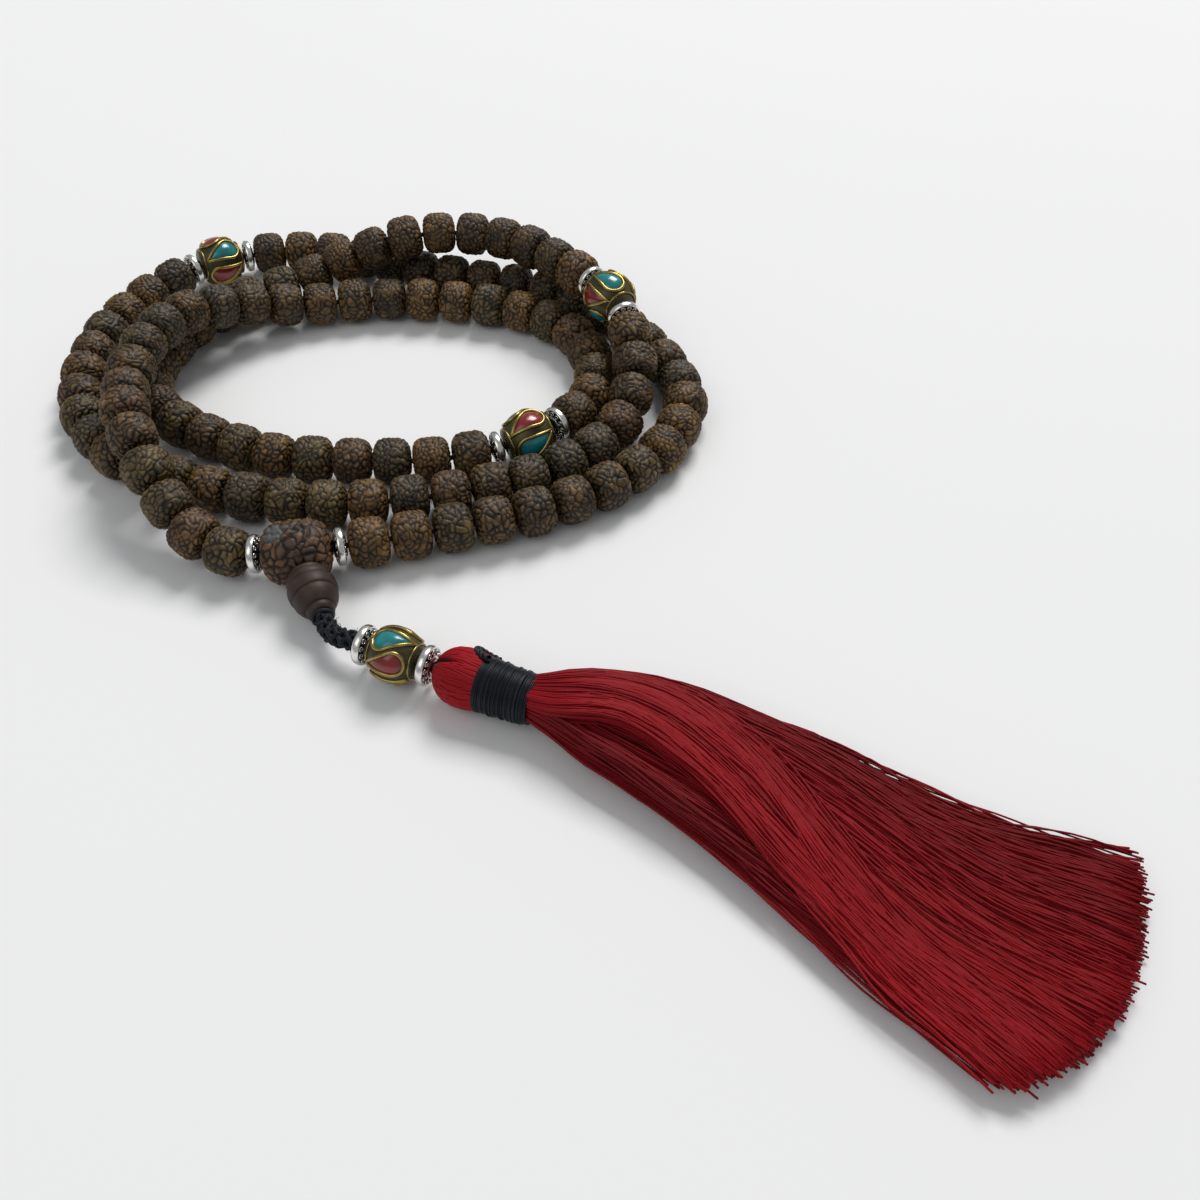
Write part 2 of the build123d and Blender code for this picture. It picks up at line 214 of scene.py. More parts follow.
def grid_faces(rows, columns):
    """Quads of a grid of points, closed round its columns."""
    index = np.arange(rows * columns).reshape(rows, columns)
    after = np.roll(index, -1, axis=1)
    quads = np.stack([index[:-1], after[:-1], after[1:], index[1:]], axis=-1)
    return quads.reshape(-1, 4)


def lathe(profile, segments):
    """A surface turned about Z from (radius, height) points in upward order."""
    profile = np.asarray(profile, float)
    turn = np.arange(segments) * 2 * math.pi / segments
    points = np.empty((len(profile), segments, 3))
    points[..., 0] = profile[:, :1] * np.cos(turn)
    points[..., 1] = profile[:, :1] * np.sin(turn)
    points[..., 2] = profile[:, 1:]
    return points.reshape(-1, 3), grid_faces(len(profile), segments)


def smooth_profile(profile, count):
    """A profile rounded at its corners and resampled evenly."""
    profile = np.asarray(profile, float)
    for _ in range(2):
        near = 0.75 * profile[:-1] + 0.25 * profile[1:]
        far = 0.25 * profile[:-1] + 0.75 * profile[1:]
        inner = np.stack([near, far], axis=1).reshape(-1, profile.shape[1])
        profile = np.concatenate([profile[:1], inner, profile[-1:]])
    return resampled(profile, count)


def resampled(line, count):
    """Points at even distances along a line."""
    length = np.r_[0, np.cumsum(np.linalg.norm(np.diff(line, axis=0), axis=1))]
    places = np.linspace(0, length[-1], count)
    return np.stack([np.interp(places, length, column) for column in line.T], axis=-1)


def tube(paths, radius, sides, about=(0, 0, 1), closed=False):
    """Round tubes along paths: an array of one path's points, or of several paths'."""
    paths = np.asarray(paths, float)
    if paths.ndim == 2:
        paths = paths[None]
    if closed:
        course = np.roll(paths, -1, axis=1) - np.roll(paths, 1, axis=1)
    else:
        course = np.gradient(paths, axis=1)
    course = unit(course)
    side = unit(np.cross(course, np.broadcast_to(about, paths.shape)))
    other = np.cross(side, course)
    thickness = np.broadcast_to(radius, paths.shape[:2])[..., None, None]
    turn = (np.arange(sides) * 2 * math.pi / sides)[:, None]
    spokes = np.cos(turn) * side[:, :, None] + np.sin(turn) * other[:, :, None]
    points = paths[:, :, None] + thickness * spokes
    count, steps = paths.shape[:2]
    index = np.arange(count * steps * sides).reshape(count, steps, sides)
    after = np.roll(index, -1, axis=1)
    if not closed:
        index = index[:, :-1]
        after = after[:, :-1]
    quads = [index, after, np.roll(after, -1, axis=2), np.roll(index, -1, axis=2)]
    return points.reshape(-1, 3), np.stack(quads, axis=-1).reshape(-1, 4)


def tapered(radius, steps, ends):
    """Tube radii that narrow to an eighth over the last rings at both ends."""
    radii = np.full(steps, float(radius))
    closing = np.linspace(0.12, 1, ends + 1)[:-1]
    radii[:ends] *= closing
    radii[-ends:] *= closing[::-1]
    return radii


def placed(shape, origin, axis, spin=0.0):
    """A shape moved from the origin so that its Z lies along an axis and its X is level."""
    points, faces = shape
    up = unit(axis)
    level = unit(np.cross((0, 0, 1), up))
    other = np.cross(up, level)
    cosine, sine = math.cos(spin), math.sin(spin)
    first = cosine * level + sine * other
    second = -sine * level + cosine * other
    return np.asarray(origin) + points @ np.array([first, second, up]), faces


def joint_line(name):
    """A joint's point in millimetres and its axis."""
    joint = JOINTS[name]
    return np.array(joint["pos_m"]) * MM, unit(joint["axis"])


# ---------------------------------------------------------------- materials


def material(name, rough, metal=0.0, mottle=0.2, grain=1500, bump=0.0, sheen=0.0, coat=0.0,
             specular=0.5, stretch=(1, 1, 1), rough_spread=0.12):
    """A finish coloured by the tone attribute, with mottling, uneven gloss and fine relief."""
    made = bpy.data.materials.new(name)
    made.use_nodes = True
    nodes = made.node_tree.nodes
    links = made.node_tree.links
    shader = nodes["Principled BSDF"]
    shader.inputs["Metallic"].default_value = metal
    shader.inputs["Specular IOR Level"].default_value = specular
    shader.inputs["Sheen Weight"].default_value = sheen
    shader.inputs["Sheen Roughness"].default_value = 0.4
    shader.inputs["Coat Weight"].default_value = coat
    shader.inputs["Coat Roughness"].default_value = 0.15
    tone = nodes.new("ShaderNodeAttribute")
    tone.attribute_name = "tone"
    place = nodes.new("ShaderNodeTexCoord")
    scaled = nodes.new("ShaderNodeMapping")
    scaled.inputs["Scale"].default_value = stretch
    links.new(place.outputs["Object"], scaled.inputs["Vector"])
    texture = nodes.new("ShaderNodeTexNoise")
    texture.inputs["Scale"].default_value = grain
    texture.inputs["Detail"].default_value = 5
    links.new(scaled.outputs["Vector"], texture.inputs["Vector"])
    spread = nodes.new("ShaderNodeMapRange")
    spread.inputs["To Min"].default_value = 1 - mottle
    spread.inputs["To Max"].default_value = 1 + mottle
    spread.inputs["From Min"].default_value = 0.25
    spread.inputs["From Max"].default_value = 0.75
    links.new(texture.outputs["Fac"], spread.inputs["Value"])
    shade = nodes.new("ShaderNodeVectorMath")
    shade.operation = "SCALE"
    links.new(tone.outputs["Color"], shade.inputs[0])
    links.new(spread.outputs["Result"], shade.inputs["Scale"])
    links.new(shade.outputs["Vector"], shader.inputs["Base Color"])
    gloss = nodes.new("ShaderNodeMapRange")
    gloss.inputs["To Min"].default_value = max(rough - rough_spread, 0.03)
    gloss.inputs["To Max"].default_value = min(rough + rough_spread, 1.0)
    links.new(texture.outputs["Fac"], gloss.inputs["Value"])
    links.new(gloss.outputs["Result"], shader.inputs["Roughness"])
    if bump:
        relief = nodes.new("ShaderNodeBump")
        relief.inputs["Strength"].default_value = 0.6
        relief.inputs["Distance"].default_value = bump
        links.new(texture.outputs["Fac"], relief.inputs["Height"])
        links.new(relief.outputs["Normal"], shader.inputs["Normal"])
    return made


SEED = material("seed", 0.50, mottle=0.30, grain=2200, bump=0.00006, specular=0.35)
SILVER = material("silver", 0.24, metal=1.0, mottle=0.10, grain=2500, bump=0.00002)
RESIN = material("inlay_ground", 0.42, metal=0.4, mottle=0.4, grain=2500, bump=0.00005)
BRASS = material("inlay_brass", 0.28, metal=1.0, mottle=0.15, grain=1800, bump=0.00002)
STONE = material("inlay_stone", 0.22, mottle=0.16, grain=900, coat=0.4, bump=0.00001)
CAP_WOOD = material("cap_wood", 0.52, mottle=0.22, grain=900, bump=0.00002, specular=0.3)
CORD = material("dark_cord", 0.62, mottle=0.35, grain=4000, bump=0.00005, sheen=0.05, specular=0.3)
WRAP = material("wrap_thread", 0.42, mottle=0.25, grain=5000, bump=0.00003, sheen=0.02, specular=0.25)
RED = material("red_thread", 0.58, mottle=0.16, grain=3000, bump=0.00002, sheen=0.03, specular=0.16)

SILVER_BRIGHT = srgb(232, 230, 226)
SILVER_DARK = srgb(52, 50, 48)
BRASS_TONE = srgb(162, 142, 84)
RESIN_TONE = srgb(66, 63, 35)
TURQUOISE = srgb(14, 122, 126)
CORAL = srgb(130, 28, 30)
CAP_TONE = srgb(55, 41, 34)
BRAID_TONE = srgb(18, 21, 30)
WRAP_TONE = srgb(15, 21, 30)
STRING_TONE = srgb(50, 34, 30)
RED_TONE = srgb(142, 14, 24)


# ---------------------------------------------------------------- seeds

GROOVE_WIDTH = 0.165  # as a share of a block
GROOVE_DEPTH = 0.30
BLOCK_CROWN = 0.12
BLOCK_UNEVENNESS = 0.07
SEED_VARIANTS = 14
SEED_ROOM = 1.02
SINGLE_SEED_ROOM = 0.99  # short enough to spin clear of the seeds beside it


def crackled(seed, diameter, length, block, power=3.5, rings=62, around=112, bore=1.05):
    """A seed's surface broken into blocks: points, faces, each point's groove and block shade."""
    source = np.random.default_rng(seed)
    turn = np.linspace(0.01, math.pi - 0.01, 900)
    radius = diameter / 2 * np.sin(turn) ** (2 / power)
    cosine = np.cos(turn)
    height = -length / 2 * np.sign(cosine) * np.abs(cosine) ** (2 / power)
    keep = radius > bore
    profile = resampled(np.stack([radius[keep], height[keep]], axis=1), rings)
    slope = np.gradient(profile, axis=0)
    normal = unit(np.stack([slope[:, 1], -slope[:, 0]], axis=1))
    mouth = np.array([[0.95 * bore, -profile[-1, 1] + 0.9]])
    profile = np.concatenate([mouth, profile, mouth * (1, -1)])
    normal = np.concatenate([normal[:1], normal, normal[-1:]])
    points, faces = lathe(profile, around)
    flat = normal[:, None, :] * np.ones((1, around, 1))
    angle = np.arange(around) * 2 * math.pi / around
    outward = np.stack(
        [flat[..., 0] * np.cos(angle), flat[..., 0] * np.sin(angle), flat[..., 1]], axis=-1
    ).reshape(-1, 3)

    body = np.arange(around, len(points) - around)
    bent = points + 0.30 * np.stack(
        [noise(points, 0.9, seed * 7 + axis) for axis in range(3)], axis=-1
    )
    centres = np.empty((600, 3))
    count = 0
    for index in source.permutation(body)[:3200]:
        gap = block * source.uniform(0.72, 1.28)
        if count == 0 or np.linalg.norm(centres[:count] - bent[index], axis=1).min() > gap:
            centres[count] = bent[index]
            count += 1
    centres = centres[:count]
    spans = ((bent[:, None] - centres) ** 2).sum(axis=2)
    nearest = np.argpartition(spans, 1, axis=1)[:, :2]
    pair = np.take_along_axis(spans, nearest, axis=1)
    swap = pair[:, 0] > pair[:, 1]
    nearest[swap] = nearest[swap][:, ::-1]
    pair[swap] = pair[swap][:, ::-1]
    apart = np.linalg.norm(centres[nearest[:, 0]] - centres[nearest[:, 1]], axis=1)
    edge = (pair[:, 1] - pair[:, 0]) / (2 * apart)
    low = nearest.min(axis=1)
    high = nearest.max(axis=1)
    fate = np.abs(np.sin(low * 12.9898 + high * 78.233) * 43758.5453) % 1
    strength = np.where(fate < 0.16, 0.25, 0.75 + 0.25 * fate)
    width = GROOVE_WIDTH * block * (1 + 0.25 * noise(points, 1.3, seed + 50))
    groove = strength * np.exp(-((edge / np.maximum(width, 0.05)) ** 2))
    cell = source.uniform(0, 1, count)[nearest[:, 0]]
    crown = 1 - np.exp(-edge / 0.28)
    lift = BLOCK_CROWN * crown - GROOVE_DEPTH * groove + BLOCK_UNEVENNESS * (cell - 0.5)
    lift += 0.025 * noise(points, 3.2, seed + 90)
    lift[:around] = 0
    lift[-around:] = 0
    # Painted shade: the bore's mouth rings take the full groove darkness.
    groove[:around] = 1
    groove[-around:] = 1
    return points + outward * lift[:, None], faces, groove, cell


LUMPS = [
    (srgb(100, 76, 44), srgb(84, 64, 38)),
    (srgb(104, 78, 42), srgb(118, 87, 42)),
    (srgb(90, 74, 48), srgb(79, 66, 46)),
    (srgb(97, 71, 45), srgb(104, 77, 42)),
    (srgb(98, 80, 45), srgb(87, 68, 40)),
]
LUMP_SHARES = (0.36, 0.20, 0.13, 0.16, 0.15)
# Near black for the grooves: the furrows' own darker colour together with painted shade.
GROOVE_COLOUR_AND_SHADE = srgb(12, 8, 6)
GREY_SPOT = srgb(84, 84, 84)


def seed_tone(points, groove, cell, pair, seed):
    """The colours of one bead's points: two mixed browns, block by block, and grooves darkened to
    near black: the furrows' own darker colour with painted shade in them.
    """
    patch = ease(0.5 + 0.7 * noise(points, 0.32, seed))
    tone = mixed(pair[0], pair[1], patch)
    tone = tone * (0.64 + 0.5 * cell + 0.3 * cell**5)[:, None]
    tone = tone * (1 + 0.10 * noise(points, 2.4, seed + 1))[:, None]
    # Partly painted shade: grooves darken with their depth towards near black, over the furrows' own
    # darker colour.
    return mixed(tone, GROOVE_COLOUR_AND_SHADE, np.clip(1.8 * groove, 0, 0.98))


def solids_of(node):
    """Each solid of a node: its centre, its bore's direction, its diameter and its length."""
    mesh = NODES[node].data
    points = np.empty(len(mesh.vertices) * 3, np.float32)
    mesh.vertices.foreach_get("co", points)
    points = points.reshape(-1, 3).astype(float) * MM
    mesh.calc_loop_triangles()
    corners = np.empty(len(mesh.loop_triangles) * 3, np.int32)
    mesh.loop_triangles.foreach_get("vertices", corners)
    corners = corners.reshape(-1, 3)
    same = np.unique(np.round(points, 3), axis=0, return_inverse=True)[1].ravel()
    ends = same[np.concatenate([corners[:, :2], corners[:, 1:]])]
    label = np.arange(same.max() + 1)
    while True:
        lowest = np.minimum(label[ends[:, 0]], label[ends[:, 1]])
        joined = label.copy()
        np.minimum.at(joined, ends[:, 0], lowest)
        np.minimum.at(joined, ends[:, 1], lowest)
        joined = joined[joined]
        if (joined == label).all():
            break
        label = joined
    label = label[same]
    found = []
    for number in np.unique(label):
        own = corners[label[corners[:, 0]] == number]
        triangle = points[own]
        area = np.linalg.norm(
            np.cross(triangle[:, 1] - triangle[:, 0], triangle[:, 2] - triangle[:, 0]), axis=1
        )
        centre = (triangle.mean(axis=1) * area[:, None]).sum(axis=0) / area.sum()
        arms = points[label == number] - centre
        reach = np.linalg.norm(arms, axis=1)
        near = arms[reach < reach.min() + 0.25]
        axis = np.linalg.svd(near, full_matrices=False)[2][0]
        along = arms @ axis
        across = np.linalg.norm(arms - np.outer(along, axis), axis=1)
        found.append((centre, axis, 2 * across.max(), 2 * np.abs(along).max()))
    return found


VARIANTS = [
    crackled(40 + number, 9.3, 7.6, 1.0 + 0.06 * (number % 4)) for number in range(SEED_VARIANTS)
]


def add_seed(batch, centre, axis, diameter, length, room=SEED_ROOM):
    """One crackled seed in the place and at the size of its solid, times room along its bore."""
    points, faces, groove, cell = VARIANTS[rng.integers(len(VARIANTS))]
    wide = diameter / (2 * np.hypot(points[:, 0], points[:, 1]).max())
    long = room * length / (2 * np.abs(points[:, 2]).max())
    sized = points * (wide, wide, long)
    spin = rng.uniform(0, 2 * math.pi)
    way = axis if rng.random() < 0.5 else -axis
    pair = LUMPS[rng.choice(len(LUMPS), p=LUMP_SHARES)]
    lighter = rng.uniform(0.86, 1.1)
    tone = seed_tone(points, groove, cell, pair, int(rng.integers(1 << 30))) * lighter
    batch.add(placed((sized, faces), centre, way, spin), tone)


def add_seeds():
    """The four runs' seeds, each run in two pieces, and the eight seeds that spin alone."""
    for run in range(1, 5):
        node = f"seeds_run_{run}"
        solids = solids_of(node)
        half = (len(solids) + 1) // 2
        for letter, group in (("a", solids[:half]), ("b", solids[half:])):
            batch = Batch()
            for solid in group:
                add_seed(batch, *solid)
            piece = batch.build(f"{node}_{letter}_crackled", SEED)
            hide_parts(node)
            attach(piece, "mala")
        for number in (9, 18):
            node = f"seed_{run}_{number:02d}"
            batch = Batch()
            add_seed(batch, *solids_of(node)[0], room=SINGLE_SEED_ROOM)
            piece = batch.build(f"{node}_crackled", SEED)
            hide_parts(node)
            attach(piece, node)


def add_guru():
    """The larger three-holed bead, with coarser blocks, orange patches and a smooth grey spot."""
    before = joint_line("guru_spacer_b_spin")[0]
    after = joint_line("guru_spacer_a_spin")[0]
    low, high = (np.array(corner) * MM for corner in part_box("guru_bead"))
    centre = (low + high) / 2
    axis = unit(after - before) * (1, 1, 0)
    points, faces, groove, cell = crackled(
        7, 11.8, 12.5, 1.5, power=3.1, rings=84, around=150, bore=1.6
    )
    world, faces = placed((points, faces), centre, axis, 0.6)
    side = world - centre
    spot = ease(2.2 - np.linalg.norm(side - (-3.4, -0.8, 5.3), axis=1) / 1.2)
    tone = seed_tone(points, groove, cell, (srgb(78, 57, 42), srgb(108, 74, 42)), 5)
    batch = Batch()
    batch.add((world, faces), mixed(tone, GREY_SPOT, spot))
    piece = batch.build("guru_bead_crackled", SEED)
    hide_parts("guru_bead")
    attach(piece, "mala")


# ---------------------------------------------------------------- spacers and inlaid beads


SPACER_RINGS = 12
SPACER_RING_SEAT = (2.59, 0.78)


def ring(radius, thickness):
    """A small round ring flat on the XY plane at the origin."""
    turn = np.arange(18) * 2 * math.pi / 18
    path = np.stack([radius * np.cos(turn), radius * np.sin(turn), 0 * turn], axis=1)
    return tube(path, thickness, 8, closed=True)


def spacer_shapes():
    """The silver disc: its turned body and the little rings round each face, with their tones."""
    half = [
        (1.05, 1.0), (1.1, 1.17), (1.5, 1.2), (1.85, 1.16), (2.0, 1.0), (2.1, 0.86), (2.7, 0.74),
        (3.08, 0.62), (3.16, 0.7), (3.3, 0.72), (3.44, 0.64), (3.54, 0.46), (3.59, 0.24), (3.6, 0),
    ]
    half = np.array(half)
    dark = np.array([0.5, 0.2, 0, 0, 0.4, 1, 1, 1, 0.3, 0, 0, 0, 0, 0])
    upper = half[::-1]
    lower = half[:-1] * (1, -1)
    profile = np.concatenate([lower, upper])
    shade = np.concatenate([dark[:-1], dark[::-1]])
    body = lathe(profile, 72)
    tone = mixed(SILVER_BRIGHT, SILVER_DARK, np.repeat(shade, 72))
    shapes = [(body, tone)]
    slope = math.atan2(0.24, 1.2)
    small = ring(0.40, 0.13)
    ball = lathe([(0.0, -0.1), (0.14, -0.02), (0.12, 0.1), (0.0, 0.15)], 10)
    for number in range(SPACER_RINGS):
        for face in (1, -1):
            turn = 2 * math.pi * (number + 0.25 * face) / SPACER_RINGS
            outward = np.array([math.cos(turn), math.sin(turn), 0])
            way = np.array([math.sin(slope), 0, math.cos(slope)])
            up = way[0] * outward + np.array([0, 0, face * way[2]])
            seat = SPACER_RING_SEAT[0] * outward + np.array([0, 0, face * SPACER_RING_SEAT[1]])
            shapes.append((placed(small, seat, up), SILVER_BRIGHT))
            shapes.append((placed(ball, seat, up), SILVER_BRIGHT * 0.55))
    return shapes


def add_spacers():
    """A cast disc in the place of each spacer."""
    shapes = spacer_shapes()
    for name in JOINTS:
        if "spacer" not in name:
            continue
        node = name[: -len("_spin")]
        origin, axis = joint_line(name)
        batch = Batch()
        spin = rng.uniform(0, 1)
        for shape, tone in shapes:
            batch.add(placed(shape, origin, axis, spin), tone)
        piece = batch.build(f"{node}_cast", SILVER)
        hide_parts(node)
        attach(piece, node)


BARREL_MIDDLE = 5.4
BARREL_BEND = 6.088
BARREL_SHOULDER = 4.6
CHIP_WIDTH = 3.9
CHIP_LENGTH = 7.0
CHIP_TILT = math.radians(16)
CHIPS = 6
WIRE_RADIUS = 0.36
WIRE_LIFT = -0.04
END_RING = 4.36
END_RING_RADIUS = 0.24


def barrel_radius(height):
    """The inlaid bead's radius at a height from its middle, an arc of a circle."""
    height = np.clip(height, -BARREL_SHOULDER, BARREL_SHOULDER)
    return BARREL_MIDDLE - BARREL_BEND + np.sqrt(BARREL_BEND**2 - height**2)


def teardrop(grow, steps=56):
    """A closed teardrop outline, round below and pointed above, grown on all sides."""
    radius = CHIP_WIDTH / 2
    low = -CHIP_LENGTH / 2 + radius
    reach = CHIP_LENGTH / 2 - low
    side = math.asin(radius / reach)
    grown = radius + grow
    turn = np.linspace(side, -math.pi - side, steps)
    arc = np.stack([grown * np.cos(turn), low + grown * np.sin(turn)], axis=1)
    tip = np.array([[0, low + reach * grown / radius - 0.35 * grow]])
    bow = 0.25
    right = (arc[:1] + tip) / 2 + (bow, 0)
    left = (arc[-1:] + tip) / 2 - (bow, 0)
    outline = np.concatenate([tip, right, arc, left, tip])
    return resampled(smooth_profile(outline, 4 * steps), steps + 1)[:-1]


def on_barrel(flat, turn, tilt, lift):
    """Points of a flat outline laid on the barrel, turned round it."""
    cosine, sine = math.cos(tilt), math.sin(tilt)
    across = cosine * flat[..., 0] - sine * flat[..., 1]
    height = sine * flat[..., 0] + cosine * flat[..., 1]
    radius = barrel_radius(height) + lift
    out = np.sqrt(np.maximum(radius**2 - across**2, 0.1))
    cosine, sine = math.cos(turn), math.sin(turn)
    return np.stack([out * cosine - across * sine, out * sine + across * cosine, height], axis=-1)


def inlay_shapes(seed):
    """The inlaid bead's ground, wires and chips at the origin, each with its tone."""
    height = np.linspace(0.04 - BARREL_SHOULDER, BARREL_SHOULDER - 0.04, 40)
    profile = np.stack([barrel_radius(height) - 0.16, height], axis=1)
    ends = [(1.05, -4.4), (1.1, -4.92), (1.5, -4.98), (3.05, -4.73)]
    profile = np.concatenate([ends, profile, [(r, -z) for r, z in ends[::-1]]])
    ground, faces = lathe(profile, 72)
    shade = 1 + 0.25 * noise(ground, 1.1, seed)
    shapes = {"body": [((ground, faces), RESIN_TONE * shade[:, None])]}
    wires = []
    chips = {0: [], 1: []}
    for number in range(CHIPS):
        turn = number * math.pi / 3
        tilt = CHIP_TILT + math.pi * (number % 2)
        path = on_barrel(teardrop(0.30), turn, tilt, WIRE_LIFT)
        outward = unit(path * (1, 1, 0.35))
        gleam = BRASS_TONE * (1 + 0.06 * noise(path, 1.0, seed + number))[:, None]
        wire = tube(path, WIRE_RADIUS, 8, about=outward[None], closed=True)
        wires.append((wire, np.repeat(gleam, 8, axis=0)))
        inner = teardrop(0.02)
        steps = np.linspace(0.02, 1, 9)
        rows = [on_barrel(inner * step, turn, tilt, 0.10 - 0.22 * step**3) for step in steps]
        chip = np.concatenate(rows[::-1])
        tone = CORAL if number % 2 else TURQUOISE
        spots = 1 + 0.10 * noise(chip, 0.9, seed + 20 + number)
        # Painted shade: each chip darkens towards its edge, where it dips under the wire.
        edge_shade = 1 - 0.45 * np.repeat(steps[::-1] ** 8, len(inner))
        shade = tone * (spots * edge_shade)[:, None]
        chips[number % 2].append(((chip, grid_faces(len(steps), len(inner))), shade))
    for face in (1, -1):
        turn = np.arange(56) * 2 * math.pi / 56
        radius = barrel_radius(END_RING) - 0.03
        level = np.full(56, face * END_RING)
        path = np.stack([radius * np.cos(turn), radius * np.sin(turn), level], axis=1)
        wires.append((tube(path, END_RING_RADIUS, 8, closed=True), BRASS_TONE * 0.8))
    shapes["wires"] = wires
    shapes["turquoise"] = chips[0]
    shapes["coral"] = chips[1]
    return shapes


INLAY_FINISH = {
    "body": (RESIN, "inlay_body"),
    "wires": (BRASS, "inlay_wire"),
    "turquoise": (STONE, "turquoise"),
    "coral": (STONE, "coral"),
}


TASSEL_BEAD_SHARE = 0.9
INLAY_SPINS = {"counter_1": 0.9, "counter_2": 1.4, "counter_3": 0.7, "tassel_bead": -0.44}


def add_inlaid_beads():
    """The three counters and the smaller bead on the tassel, each turned its own way."""
    for number, (bead, spin) in enumerate(INLAY_SPINS.items()):
        origin, axis = joint_line(f"{bead}_spin")
        share = TASSEL_BEAD_SHARE if bead == "tassel_bead" else 1
        for kind, shapes in inlay_shapes(300 + 40 * number).items():
            batch = Batch()
            for (points, faces), tone in shapes:
                batch.add(placed((points * share, faces), origin, axis, spin), tone)
            finish, slot = INLAY_FINISH[kind]
            piece = batch.build(f"{bead}_{kind}_worked", finish)
            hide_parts(f"{bead}_{kind}")
            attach(piece, bead)


# ---------------------------------------------------------------- cap, braid and tassel


def add_cap():
    """The turned cap with its collar, drum, bell and narrow tip."""
    origin, axis = joint_line("stupa_spin")
    steps = [
        (1.3, 7.0), (2.9, 6.5), (3.3, 6.1), (3.5, 6.2), (3.62, 6.6), (3.5, 6.95), (3.55, 7.1),
        (3.95, 7.3), (4.1, 7.8), (4.12, 8.3), (4.02, 8.7), (4.05, 8.85), (4.35, 9.05),
        (4.46, 9.6), (4.47, 10.4), (4.36, 11.1), (4.2, 11.45), (4.02, 11.55), (4.05, 11.75),
        (4.1, 12.1), (3.9, 12.9), (3.5, 13.7), (3.05, 14.3), (2.75, 14.6), (2.55, 14.65),
        (2.6, 14.85), (2.55, 15.3), (2.3, 15.75), (2.0, 15.98), (1.25, 15.95), (1.2, 15.0),
    ]
    profile = smooth_profile(steps, 130)
    shape = lathe(profile, 84)
    points = shape[0]
    streaks = noise(points * (1, 1, 0.25), 1.6, 11)
    lines = np.sin(points[:, 2] * 9)
    tone = CAP_TONE * (1 + 0.14 * streaks + 0.03 * lines)[:, None]
    # Painted shade: the cap darkens towards a quarter of its tone in its four grooves.
    groove_shade = sum(
        np.interp(points[:, 2], [level - 0.25, level, level + 0.25], [0, 1, 0])
        for level in (7.0, 8.78, 11.6, 14.65)
    )
    batch = Batch()
    batch.add(placed(shape, origin, axis), mixed(tone, CAP_TONE * 0.25, 0.85 * groove_shade))
    piece = batch.build("stupa_cap_turned", CAP_WOOD)
    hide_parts("stupa_cap")
    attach(piece, "stupa_cap")


SWING_AT = joint_line("tassel_swing")[0]
PIVOT = joint_line("tassel_lift")[0]
AHEAD = joint_line("tassel_bead_spin")[1]
UP = np.array([0.0, 0.0, 1.0])
LEFT = np.cross(UP, AHEAD)
BRAID_BEND = np.array([-29.0, -25.4, 4.7])
BRAID_PITCH = 8.4
BRAID_REACH = 1.27
PLY_PITCH = 1.5
PLY_REACH = 0.22
PLY_RADIUS = 0.31
BRAID_HAIRS = 40
HEAD_START = (joint_line("tassel_spacer_b_spin")[0] - PIVOT) @ AHEAD + 1.5
HEAD_LENGTH = 8.7
WRAP_START = HEAD_START + HEAD_LENGTH
WRAP_LENGTH = 9.5
SKIRT_START = WRAP_START + WRAP_LENGTH


def on_tassel(station, left=0.0, up=0.0):
    """A point by its distance along the tassel from its pivot, and to its left and above."""
    parts = np.broadcast_arrays(station, left, up)
    station, left, up = (np.asarray(part, float)[..., None] for part in parts)
    return PIVOT + station * AHEAD + left * LEFT + up * UP


